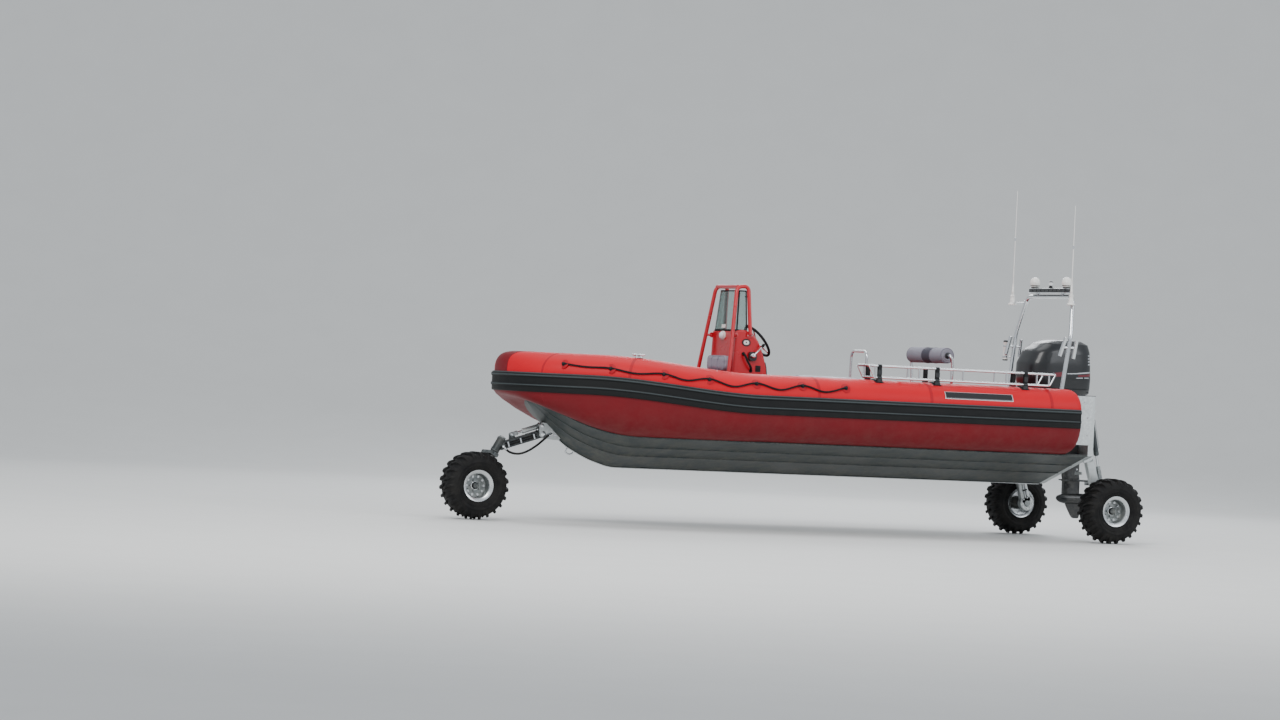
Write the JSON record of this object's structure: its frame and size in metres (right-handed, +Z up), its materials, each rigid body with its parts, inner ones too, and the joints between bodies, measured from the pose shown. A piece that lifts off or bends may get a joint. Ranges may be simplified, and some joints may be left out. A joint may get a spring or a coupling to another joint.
{
  "type": "amphibious rigid inflatable boat",
  "caption": "open boat with a V hull, inflated collar, centre console, stern arch and outboard motor, standing on powered wheels with folding legs that let it drive over a beach",
  "frame": {"origin": "on the floor, under the middle of the whole boat as it stands on its three wheels", "axes": "+X runs aft from the bow to the propeller, +Y to starboard, +Z up"},
  "size_m": [7.268, 2.45, 3.5981],
  "materials": {
    "collar_fabric": "satin",
    "black_rubber": "matte",
    "hull_metal": "matte",
    "deck_tread": "matte",
    "pale_metal": "satin",
    "red_gelcoat": "gloss",
    "red_tube": "gloss",
    "stainless": "polished",
    "dark_metal": "satin",
    "rim_metal": "satin",
    "tyre_rubber": "matte",
    "clear_screen": "polished",
    "cushion_cloth": "matte",
    "bolster_cloth": "matte",
    "black_plastic": "satin",
    "white_plastic": "gloss",
    "cowl_paint": "gloss",
    "motor_paint": "gloss"
  },
  "bodies": {
    "boat": {"hull": "hull_metal", "deck": "deck_tread", "collar_bow": "collar_fabric", "collar_port": "collar_fabric", "strake_port": "black_rubber", "grab_line_port": "black_rubber", "collar_starboard": "collar_fabric", "strake_starboard": "black_rubber", "grab_line_starboard": "black_rubber", "bow_cleat": "black_plastic", "transom": "pale_metal", "console": "red_gelcoat", "console_hoop": "red_tube", "windscreen": "clear_screen", "console_back_pad": "cushion_cloth", "front_seat_box": "red_gelcoat", "front_seat_cushion": "cushion_cloth", "console_lamp": "white_plastic", "side_speaker": "black_plastic", "throttle": "stainless", "helm_seat_box": "red_gelcoat", "helm_seat_cushion": "cushion_cloth", "seat_hoop": "stainless", "stern_locker": "red_gelcoat", "bolster": "bolster_cloth", "bolster_frame": "stainless", "side_rack": "stainless", "stern_arch": "stainless", "light_bar": "black_plastic", "dome_port": "white_plastic", "dome_starboard": "white_plastic", "aerial_port": "white_plastic", "aerial_starboard": "white_plastic", "rear_leg_port": "pale_metal", "rear_ram_port": "dark_metal", "rear_leg_starboard": "pale_metal", "rear_ram_starboard": "dark_metal", "front_bracket": "pale_metal", "front_arm": "dark_metal", "front_ram": "dark_metal", "front_hose": "black_rubber", "outboard_clamp": "motor_paint"},
    "front_steering": {"front_fork": "dark_metal"},
    "front_wheel": {"front_rim": "rim_metal", "front_tyre": "tyre_rubber"},
    "rear_wheel_port": {"rear_rim_port": "rim_metal", "rear_tyre_port": "tyre_rubber"},
    "rear_wheel_starboard": {"rear_rim_starboard": "rim_metal", "rear_tyre_starboard": "tyre_rubber"},
    "outboard_tilt": {"outboard_swivel": "motor_paint"},
    "outboard": {"outboard_cowl": "cowl_paint", "outboard_leg": "motor_paint"},
    "outboard_propeller": {"propeller": "motor_paint"},
    "helm": {"helm_wheel": "black_plastic"}
  },
  "joints": [
    {"name": "front_steer", "type": "hinge", "parent": "boat", "child": "front_steering", "pos_m": [-3.08395, 0, 0.7111], "axis": [0.5001, 0, 0.866], "range_deg": [-35, 35]},
    {"name": "front_wheel_spin", "type": "hinge", "parent": "front_steering", "child": "front_wheel", "pos_m": [-3.30395, 0, 0.3301], "axis": [0, 1, 0], "continuous": true},
    {"name": "rear_wheel_spin_port", "type": "hinge", "parent": "boat", "child": "rear_wheel_port", "pos_m": [3.24605, -0.98, 0.3301], "axis": [0, 1, 0], "continuous": true},
    {"name": "rear_wheel_spin_starboard", "type": "hinge", "parent": "boat", "child": "rear_wheel_starboard", "pos_m": [3.24605, 0.98, 0.3301], "axis": [0, 1, 0], "continuous": true},
    {"name": "outboard_tilt_hinge", "type": "hinge", "parent": "boat", "child": "outboard_tilt", "pos_m": [3.07905, 0, 1.2451], "axis": [0, -1, 0], "range_deg": [0, 60]},
    {"name": "outboard_steer", "type": "hinge", "parent": "outboard_tilt", "child": "outboard", "pos_m": [3.14605, 0, 1.1001], "axis": [0, 0, 1], "range_deg": [-30, 30]},
    {"name": "propeller_spin", "type": "hinge", "parent": "outboard", "child": "outboard_propeller", "pos_m": [3.56605, 0, 0.41809], "axis": [1, 0, 0], "continuous": true},
    {"name": "helm_wheel_turn", "type": "hinge", "parent": "boat", "child": "helm", "pos_m": [-0.33395, 0, 1.8721], "axis": [0.788, 0, 0.6157], "range_deg": [-540, 540]}
  ]
}
